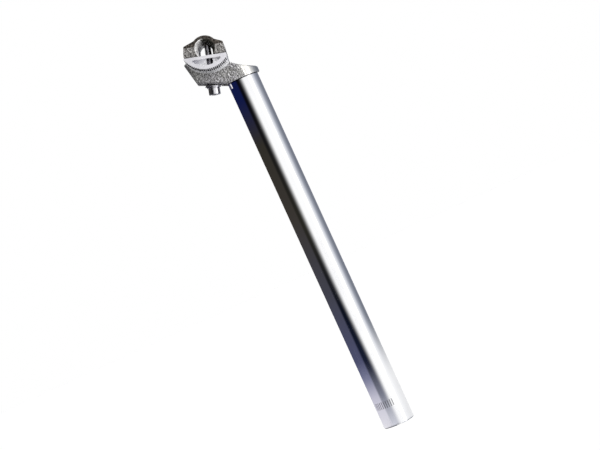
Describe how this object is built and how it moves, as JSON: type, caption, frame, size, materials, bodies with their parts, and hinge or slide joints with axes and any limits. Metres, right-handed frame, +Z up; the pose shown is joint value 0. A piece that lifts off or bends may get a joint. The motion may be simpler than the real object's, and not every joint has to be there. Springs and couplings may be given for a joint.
{
  "type": "bicycle seatpost",
  "caption": "Bicycle seatpost: a straight polished tube with a set-back head, and a bolted clamp that grips the saddle's rails and tilts in a toothed seat.",
  "frame": {"origin": "centre of the tube's lower end", "axes": "+Z up along the tube's axis, +X forward on the bicycle, +Y to the rider's left; the head is set back towards -X"},
  "size_m": [0.0564, 0.056, 0.3659],
  "materials": {
    "tube": "polished to a mirror",
    "head": "cast and shot blasted",
    "lower_cradle": "bright, sawn ends",
    "upper_clamp": "forged and tumbled",
    "clamp_bolt": "zinc plated",
    "dome_washer": "zinc plated",
    "flat_washer": "zinc plated"
  },
  "bodies": {
    "post": {"tube": "tube", "head": "head"},
    "saddle_clamp": {"lower_cradle": "lower_cradle", "upper_clamp": "upper_clamp", "clamp_bolt": "clamp_bolt", "dome_washer": "dome_washer", "flat_washer": "flat_washer"}
  },
  "joints": [
    {"name": "saddle_tilt", "type": "hinge", "parent": "post", "child": "saddle_clamp", "pos_m": [-0.0174, 0, 0.359], "axis": [0, 1, 0], "range_deg": [-9, 11]}
  ]
}
